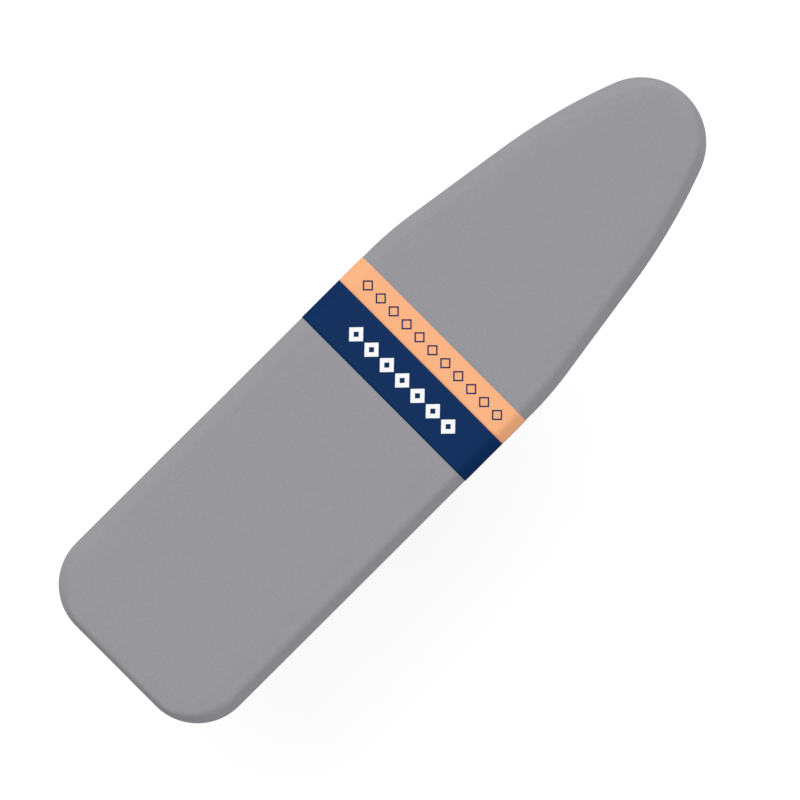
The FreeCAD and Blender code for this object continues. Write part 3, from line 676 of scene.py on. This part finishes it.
def build_grip(material):
    """The lever's grip, grooved so that it does not slip."""
    low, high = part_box("lever_grip")
    x, z, radius = (low.x + high.x) / 2, (low.z + high.z) / 2, (high.x - low.x) / 2
    sleeve = ribbed(high.y, low.y, radius, groove=0.8 * MM, pitch=5 * MM, end_r=2.4 * MM)
    profile = [(high.y, LEVER_HOLE_R)] + sleeve + [(low.y, TIP_R)]
    points, faces = lathe_y(profile, x, z)
    grip = make_piece("grip", points, faces, material, "release_lever")
    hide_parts("lever_grip")


def build_spring(material):
    """The torsion spring between the carriage and the lever, copied from the CAD model; the copy is tied to
    no body.
    """
    source = frame["nodes"]["latch_spring"]
    spring = bpy.data.objects.new("torsion_spring", source.data.copy())
    spring.data.transform(source.matrix_world)
    spring.data.materials.clear()
    spring.data.materials.append(material)
    bpy.context.scene.collection.objects.link(spring)
    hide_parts("latch_spring")
    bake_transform(spring)


def bead(path, radius):
    """Points and faces of a weld bead along an open path, with the ripples of the weld pool."""
    sides = 8
    ripple_depth, ripple_pitch = 0.16, 1.5 * MM
    points, faces = [], []
    run = 0.0
    side = (path[1] - path[0]).orthogonal()
    for i, centre in enumerate(path):
        before, after = path[max(i - 1, 0)], path[min(i + 1, len(path) - 1)]
        along = (after - before).normalized()
        side = (side - along * side.dot(along)).normalized()
        up = along.cross(side)
        if i:
            run += (centre - path[i - 1]).length
        ripple = radius * (1 + ripple_depth * math.sin(2 * math.pi * run / ripple_pitch))
        for k in range(sides):
            angle = 2 * math.pi * k / sides
            points.append(centre + (side * math.cos(angle) + up * math.sin(angle)) * ripple)
    for i in range(len(path) - 1):
        faces += ring_faces(i * sides, (i + 1) * sides, sides)
    faces.append(tuple(range(sides))[::-1])
    faces.append(tuple((len(path) - 1) * sides + k for k in range(sides)))
    return points, faces


def leg_welds(pivot_x, way, tube_y):
    """Paths of the welds of one leg: side tubes to foot bar, brace to side tubes, brackets to tubes."""
    down = Vector((way * math.cos(LEG_ANGLE), 0, -math.sin(LEG_ANGLE)))
    over = Vector((way * math.sin(LEG_ANGLE), 0, math.cos(LEG_ANGLE)))
    across = Vector((0, 1, 0))
    top = Vector((pivot_x, 0, PIVOT_Z)) - over * PIVOT_OFFSET
    length = (top.z - FOOT_AXIS_Z) / math.sin(LEG_ANGLE)
    steps = 90
    paths = []
    for side in (1, -1):
        tube = top + across * side * tube_y
        foot, brace, bracket = [], [], []
        for i in range(steps + 1):
            angle = 2 * math.pi * i / steps
            reach = over * math.cos(angle) + across * math.sin(angle)
            foot.append(tube + down * (length - TUBE_R * abs(math.sin(angle))) + reach * TUBE_R)
            lift = BRACE_R * math.sin(angle)
            gap = math.sqrt(TUBE_R ** 2 - lift ** 2)
            brace.append(tube + down * (length - BRACE_UP + BRACE_R * math.cos(angle)) + over * lift
                         - across * side * gap)
            turn = math.pi * (0.5 + i / steps)
            reach = over * math.cos(turn) + across * math.sin(turn)
            bracket.append(tube + down * (BRACKET_LENGTH - BRACKET_EYE_R) + reach * (TUBE_R + BRACKET_WALL))
        paths += [foot, brace, bracket]
    return paths


def build_welds(leg, pivot_x, way, tube_y, material):
    points, faces = [], []
    for path in leg_welds(pivot_x, way, tube_y):
        made, made_faces = bead(path, WELD_R)
        faces += [tuple(len(points) + k for k in face) for face in made_faces]
        points += made
    make_piece(leg + "_welds", points, faces, material, leg + "_leg")


# ---- materials ----------------------------------------------------------------------
WAVE_PERIOD = 0.314    # metres from crest to crest of Blender's wave texture at scale 1


class Shader:
    """A small wrapper that builds one node material."""

    def __init__(self, name, color, roughness, metallic=0.0):
        self.material = bpy.data.materials.new(name)
        self.material.use_nodes = True
        self.tree = self.material.node_tree
        self.surface = self.tree.nodes["Principled BSDF"]
        self.color = color
        self.surface.inputs["Base Color"].default_value = (*color, 1)
        self.surface.inputs["Roughness"].default_value = roughness
        self.surface.inputs["Metallic"].default_value = metallic

    def add(self, kind, **settings):
        made = self.tree.nodes.new(kind)
        for key, value in settings.items():
            setattr(made, key, value)
        return made

    def link(self, output, target):
        self.tree.links.new(output, target)

    def place(self, scale=(1, 1, 1), source="Object"):
        """Texture coordinates in metres, stretched by scale."""
        mapping = self.add("ShaderNodeMapping")
        mapping.inputs["Scale"].default_value = scale
        if source == "flat_cut":
            uv = self.add("ShaderNodeUVMap", uv_map="flat_cut")
            self.link(uv.outputs["UV"], mapping.inputs["Vector"])
        else:
            coordinate = self.add("ShaderNodeTexCoord")
            self.link(coordinate.outputs["Object"], mapping.inputs["Vector"])
        return mapping.outputs["Vector"]

    def noise(self, vector, period, detail=3.0, roughness=0.55):
        texture = self.add("ShaderNodeTexNoise")
        texture.inputs["Scale"].default_value = 1 / period
        texture.inputs["Detail"].default_value = detail
        texture.inputs["Roughness"].default_value = roughness
        self.link(vector, texture.inputs["Vector"])
        return texture.outputs["Fac"]

    def wave(self, vector, period, direction, distortion=0.0):
        texture = self.add("ShaderNodeTexWave", bands_direction=direction)
        texture.inputs["Scale"].default_value = WAVE_PERIOD / period
        texture.inputs["Distortion"].default_value = distortion
        self.link(vector, texture.inputs["Vector"])
        return texture.outputs["Fac"]

    def math(self, operation, a, b=0.5):
        made = self.add("ShaderNodeMath", operation=operation)
        for socket, value in zip(made.inputs, (a, b)):
            if isinstance(value, (int, float)):
                socket.default_value = value
            else:
                self.link(value, socket)
        return made.outputs[0]

    def ramp(self, value, low, high, from_low=0.0, from_high=1.0):
        made = self.add("ShaderNodeMapRange")
        self.link(value, made.inputs["Value"])
        made.inputs["From Min"].default_value = from_low
        made.inputs["From Max"].default_value = from_high
        made.inputs["To Min"].default_value = low
        made.inputs["To Max"].default_value = high
        return made.outputs["Result"]

    def mix(self, factor, a, b):
        """A colour between two colours; either may be a socket."""
        made = self.add("ShaderNodeMix", data_type="RGBA")
        self.link(factor, made.inputs["Factor"])
        first, second, result = made.inputs[6], made.inputs[7], made.outputs[2]    # its colour sockets
        for socket, value in ((first, a), (second, b)):
            if isinstance(value, tuple):
                socket.default_value = (*value, 1)
            else:
                self.link(value, socket)
        return result

    def vary(self, factor, amount):
        """Base colour made up to that share darker and lighter by a factor from 0 to 1."""
        dark = tuple(c * (1 - amount) for c in self.color)
        light = tuple(c * (1 + amount) for c in self.color)
        self.link(self.mix(factor, dark, light), self.surface.inputs["Base Color"])

    def rough(self, factor, low, high):
        self.link(self.ramp(factor, low, high), self.surface.inputs["Roughness"])

    def bump(self, height, distance):
        made = self.add("ShaderNodeBump")
        made.inputs["Distance"].default_value = distance
        made.inputs["Strength"].default_value = 1.0
        self.link(height, made.inputs["Height"])
        self.link(made.outputs["Normal"], self.surface.inputs["Normal"])


def srgb(red, green, blue):
    """Linear colour from the usual 0 to 255 values."""
    def linear(value):
        value /= 255
        return value / 12.92 if value <= 0.04045 else ((value + 0.055) / 1.055) ** 2.4
    return tuple(linear(v) for v in (red, green, blue))


def woven(name, color, thread, roughness, source, fleck):
    """Plain weave: threads over and under each other, with uneven yarn."""
    shader = Shader(name, color, roughness)
    shader.surface.inputs["Sheen Weight"].default_value = 0.15
    shader.surface.inputs["Sheen Roughness"].default_value = 0.6
    shader.surface.inputs["Specular IOR Level"].default_value = 0.25
    at = shader.place(source=source)
    warp = shader.wave(at, thread, "X", 0.4)
    weft = shader.wave(at, thread, "Y", 0.4)
    weave = shader.math("MULTIPLY", warp, weft)
    yarn_x = shader.noise(shader.place((1, 0.06, 1), source), thread * 1.7, 2.0)
    yarn_y = shader.noise(shader.place((0.06, 1, 1), source), thread * 1.7, 2.0)
    yarn = shader.math("ADD", shader.math("MULTIPLY", yarn_x, 0.5), shader.math("MULTIPLY", yarn_y, 0.5))
    slub = shader.noise(at, thread * 9, 2.0)
    cloud = shader.noise(at, 60 * MM, 3.0)
    tone = shader.math("ADD", shader.math("MULTIPLY", yarn, 0.4), shader.math("MULTIPLY", slub, 0.45))
    tone = shader.math("ADD", tone, shader.math("MULTIPLY", cloud, 0.15))
    shader.vary(shader.ramp(tone, 0.0, 1.0, 0.3, 0.7), fleck)
    shader.rough(yarn, roughness - 0.08, roughness + 0.08)
    relief = shader.math("ADD", weave, shader.math("MULTIPLY", yarn, 0.6))
    shader.bump(relief, 0.12 * MM)
    return shader.material


def powder_coat(name, color):
    """Baked enamel on steel: a faint orange peel and slightly uneven gloss."""
    shader = Shader(name, color, 0.42)
    shader.surface.inputs["Coat Weight"].default_value = 0.15
    shader.surface.inputs["Coat Roughness"].default_value = 0.3
    at = shader.place()
    peel = shader.noise(at, 1.6 * MM, 2.0)
    cloud = shader.noise(at, 45 * MM, 3.0)
    shader.vary(cloud, 0.04)
    shader.rough(cloud, 0.34, 0.5)
    shader.bump(peel, 0.012 * MM)
    return shader.material


def zinc(name, color, roughness):
    """Zinc-plated steel: fine drawn lines and a cloudy plating."""
    shader = Shader(name, color, roughness, metallic=1.0)
    lines = shader.noise(shader.place((1, 0.05, 1)), 0.9 * MM, 3.0)
    cloud = shader.noise(shader.place(), 14 * MM, 4.0)
    shader.vary(cloud, 0.12)
    shader.rough(lines, roughness - 0.1, roughness + 0.14)
    shader.bump(lines, 0.03 * MM)
    return shader.material


def moulded(name, color, roughness, grain):
    """Moulded plastic with a spark-eroded grain."""
    shader = Shader(name, color, roughness)
    at = shader.place()
    pits = shader.noise(at, grain, 2.0, 0.7)
    cloud = shader.noise(at, 30 * MM, 2.0)
    shader.vary(cloud, 0.10)
    shader.rough(pits, roughness - 0.07, roughness + 0.1)
    shader.bump(pits, 0.05 * MM)
    return shader.material


def fibrous(name, color, period, depth):
    """Felt, batting or foam: tangled fibres or open cells."""
    shader = Shader(name, color, 0.9)
    shader.surface.inputs["Specular IOR Level"].default_value = 0.15
    at = shader.place()
    tangle = shader.noise(at, period, 5.0, 0.7)
    cloud = shader.noise(at, 20 * MM, 2.0)
    shader.vary(shader.math("MULTIPLY", shader.math("ADD", tangle, cloud), 0.5), 0.14)
    shader.bump(tangle, depth)
    return shader.material


def braid(name, color):
    """Braided elastic cord."""
    shader = Shader(name, color, 0.8)
    at = shader.place()
    strands = shader.wave(at, 1.4 * MM, "DIAGONAL", 1.5)
    shader.vary(strands, 0.12)
    shader.bump(strands, 0.2 * MM)
    return shader.material


def printed_card(name, ground, ink, centre_x, shape, stroke, count, pitch):
    """Matt printed card: a row of outlined diamonds across the board, plain elsewhere.

    shape is half of a diamond's size along and across the board; count is odd.
    """
    shader = Shader(name, ground, 0.6)
    shader.surface.inputs["Specular IOR Level"].default_value = 0.05
    coordinate = shader.add("ShaderNodeTexCoord")
    split = shader.add("ShaderNodeSeparateXYZ")
    shader.link(coordinate.outputs["Object"], split.inputs["Vector"])
    x, y, z = split.outputs
    along, across = shape
    cell = shader.math("DIVIDE", shader.math("PINGPONG", y, pitch / 2), across)
    away = shader.math("ABSOLUTE", shader.math("SUBTRACT", x, centre_x))
    ring = shader.math("ADD", cell, shader.math("DIVIDE", away, along))
    half_line = stroke * math.hypot(1 / along, 1 / across) / 2
    line = shader.math("ABSOLUTE", shader.math("SUBTRACT", ring, 1 - half_line))
    in_line = shader.math("LESS_THAN", line, half_line)
    in_row = shader.math("LESS_THAN", shader.math("ABSOLUTE", y), count * pitch / 2)
    on_top = shader.math("GREATER_THAN", z, TOP_Z - SLOPE_DOWN)
    mark = shader.math("MULTIPLY", shader.math("MULTIPLY", in_line, in_row), on_top)
    fibre = shader.noise(shader.place(), 2.5 * MM, 4.0, 0.65)
    dark = tuple(c * 0.96 for c in ground)
    light = tuple(min(c * 1.04, 1.0) for c in ground)
    paper = shader.mix(fibre, dark, light)
    shader.link(shader.mix(mark, paper, ink), shader.surface.inputs["Base Color"])
    shader.rough(fibre, 0.55, 0.68)
    shader.bump(fibre, 0.02 * MM)
    return shader.material


COVER_GREY = srgb(154, 153, 158)
NAVY = srgb(12, 46, 92)
PEACH = srgb(253, 180, 132)
WHITE = srgb(250, 250, 250)


def make_materials():
    """One material for each slot of the record."""
    navy_x = (LABEL_TAIL_X + LABEL_SPLIT_X) / 2
    peach_x = (LABEL_SPLIT_X + LABEL_NOSE_X) / 2
    navy_row = dict(shape=(17 * MM, 16.5 * MM), stroke=7.5 * MM, count=7, pitch=36.8 * MM)
    peach_row = dict(shape=(12.3 * MM, 12.3 * MM), stroke=2.6 * MM, count=11, pitch=31 * MM)
    return {
        "cover_cloth": woven("cover_cloth", COVER_GREY, 0.55 * MM, 0.72, "flat_cut", fleck=0.085),
        "hem_tape": woven("hem_tape", srgb(136, 135, 140), 0.7 * MM, 0.8, "Object", fleck=0.06),
        "elastic": braid("elastic", srgb(215, 214, 208)),
        "batting": fibrous("batting", srgb(232, 231, 226), 1.5 * MM, 0.8 * MM),
        "foam": fibrous("foam", srgb(226, 218, 190), 0.9 * MM, 0.5 * MM),
        "felt": fibrous("felt", srgb(205, 199, 188), 1.1 * MM, 0.5 * MM),
        "label_navy": printed_card("label_navy", NAVY, WHITE, navy_x, **navy_row),
        "label_peach": printed_card("label_peach", PEACH, NAVY, peach_x, **peach_row),
        "top_enamel": powder_coat("top_enamel", srgb(196, 198, 201)),
        "rail_enamel": powder_coat("rail_enamel", srgb(186, 188, 192)),
        "leg_enamel": powder_coat("leg_enamel", srgb(178, 180, 185)),
        "zinc_steel": zinc("zinc_steel", srgb(190, 191, 196), 0.34),
        "spring_steel": zinc("spring_steel", srgb(120, 121, 125), 0.3),
        "dark_plastic": moulded("dark_plastic", srgb(38, 39, 42), 0.5, 0.5 * MM),
        "nylon": moulded("nylon", srgb(226, 223, 212), 0.45, 0.8 * MM),
    }


def dress_nodes(materials):
    """Gives every CAD node the material of its slot."""
    for entry in frame["record"]["subparts"]:
        node = frame["nodes"][entry["node"]]
        node.data.materials.clear()
        node.data.materials.append(materials[entry["material_slot"]])


# ---- floor, light and camera --------------------------------------------------------
CAMERA_LENS = 85.0
CAMERA_SENSOR = 36.0
VIEW_WIDTH = 1.362           # metres across the picture at the board's height
BOARD_UP = 0.0321            # board's middle above the picture's middle
BOARD_RIGHT = 0.0026
VIEW_TURN = math.radians(-44.91)

STUDIO = 15.0                # from the middle to each wall
FLOOR_TONE = 0.20            # dark enough that shadows on the floor stay faint
FLOOR_GLOW = 0.86            # makes the lit floor as white as a studio sweep
WORLD_ABOVE = 0.22           # light of the sky and of the ground, as a share of white
WORLD_BELOW = 0.50
KEY_STRENGTH = 0.85
KEY_WIDTH = math.radians(36)
KEY_AZIMUTH = math.radians(50)
KEY_HEIGHT = math.radians(66)


def stage_object(name, points, faces, tone, glow):
    """Part of the studio: it glows by itself, and sends no light onto the object."""
    mesh = bpy.data.meshes.new(name)
    mesh.from_pydata(points, [], faces)
    shader = Shader(name + "_white", (tone,) * 3, 0.9)
    shader.surface.inputs["Emission Color"].default_value = (1, 1, 1, 1)
    shader.surface.inputs["Emission Strength"].default_value = glow
    shader.material.cycles.emission_sampling = "NONE"
    mesh.materials.append(shader.material)
    made = bpy.data.objects.new(name, mesh)
    bpy.context.scene.collection.objects.link(made)
    made.visible_diffuse = False
    return made


def build_stage():
    """A wide pale floor that the legs stand on, with a white room far around it."""
    corners = ((-STUDIO, -STUDIO), (STUDIO, -STUDIO), (STUDIO, STUDIO), (-STUDIO, STUDIO))
    low = [(x, y, 0.0) for x, y in corners]
    high = [(x, y, STUDIO) for x, y in corners]
    stage_object("floor", low, [(0, 1, 2, 3)], FLOOR_TONE, FLOOR_GLOW)
    walls = ring_faces(0, 4, 4) + [(4, 5, 6, 7)]
    backdrop = stage_object("backdrop", low + high, walls, 0.0, 1.0)
    backdrop.visible_glossy = False
    backdrop.visible_shadow = False


def build_light():
    """Even soft light from everywhere, and a broad key light over the board's left side."""
    world = bpy.data.worlds.new("studio")
    bpy.context.scene.world = world
    world.use_nodes = True
    tree = world.node_tree
    background = tree.nodes["Background"]
    coordinate = tree.nodes.new("ShaderNodeTexCoord")
    split = tree.nodes.new("ShaderNodeSeparateXYZ")
    ramp = tree.nodes.new("ShaderNodeMapRange")
    tree.links.new(coordinate.outputs["Generated"], split.inputs["Vector"])
    tree.links.new(split.outputs["Z"], ramp.inputs["Value"])
    ramp.inputs["From Min"].default_value = -0.3
    ramp.inputs["From Max"].default_value = 0.3
    ramp.inputs["To Min"].default_value = WORLD_BELOW
    ramp.inputs["To Max"].default_value = WORLD_ABOVE
    tree.links.new(ramp.outputs["Result"], background.inputs["Strength"])
    background.inputs["Color"].default_value = (1, 1, 1, 1)
    light = bpy.data.lights.new("key", "SUN")
    light.angle = KEY_WIDTH
    light.energy = KEY_STRENGTH * math.pi
    key = bpy.data.objects.new("key", light)
    toward = Vector((math.cos(KEY_AZIMUTH), math.sin(KEY_AZIMUTH), math.tan(KEY_HEIGHT)))
    key.rotation_euler = toward.to_track_quat("Z", "Y").to_euler()
    bpy.context.scene.collection.objects.link(key)


def build_camera():
    camera = bpy.data.cameras.new("camera")
    camera.lens = CAMERA_LENS
    camera.sensor_width = CAMERA_SENSOR
    holder = bpy.data.objects.new("camera", camera)
    bpy.context.scene.collection.objects.link(holder)
    right = Vector((math.cos(VIEW_TURN), math.sin(VIEW_TURN), 0))
    up = Vector((-math.sin(VIEW_TURN), math.cos(VIEW_TURN), 0))
    edge_z = TOP_Z - SLOPE_DOWN
    height = edge_z + VIEW_WIDTH * CAMERA_LENS / CAMERA_SENSOR
    holder.location = Vector((0, 0, height)) - up * BOARD_UP - right * BOARD_RIGHT
    holder.rotation_euler = (0, 0, VIEW_TURN)
    bpy.context.scene.camera = holder


def main():
    bpy.context.scene.view_settings.view_transform = "Standard"
    materials = make_materials()
    dress_nodes(materials)
    pads = [build_pad(kind, materials[kind]) for kind in ("felt", "foam", "batting")]
    cover, width, length, area = build_cover(materials["cover_cloth"])
    casing = build_hem_casing(materials["hem_tape"])
    stitches = build_hem_stitches(materials["hem_tape"])
    build_label("navy", LABEL_TAIL_X, LABEL_SPLIT_X, materials["label_navy"])
    build_label("peach", LABEL_SPLIT_X, LABEL_NOSE_X, materials["label_peach"])
    legs = (("outer", OUTER_PIVOT_X, -1, OUTER_Y), ("inner", INNER_PIVOT_X, 1, INNER_Y))
    for leg, pivot_x, way, tube_y in legs:
        build_welds(leg, pivot_x, way, tube_y, materials["leg_enamel"])
        for side in ("left", "right"):
            build_foot_cap(leg, side, materials["dark_plastic"])
    build_grip(materials["dark_plastic"])
    build_spring(materials["spring_steel"])
    build_stage()
    build_light()
    build_camera()


main()
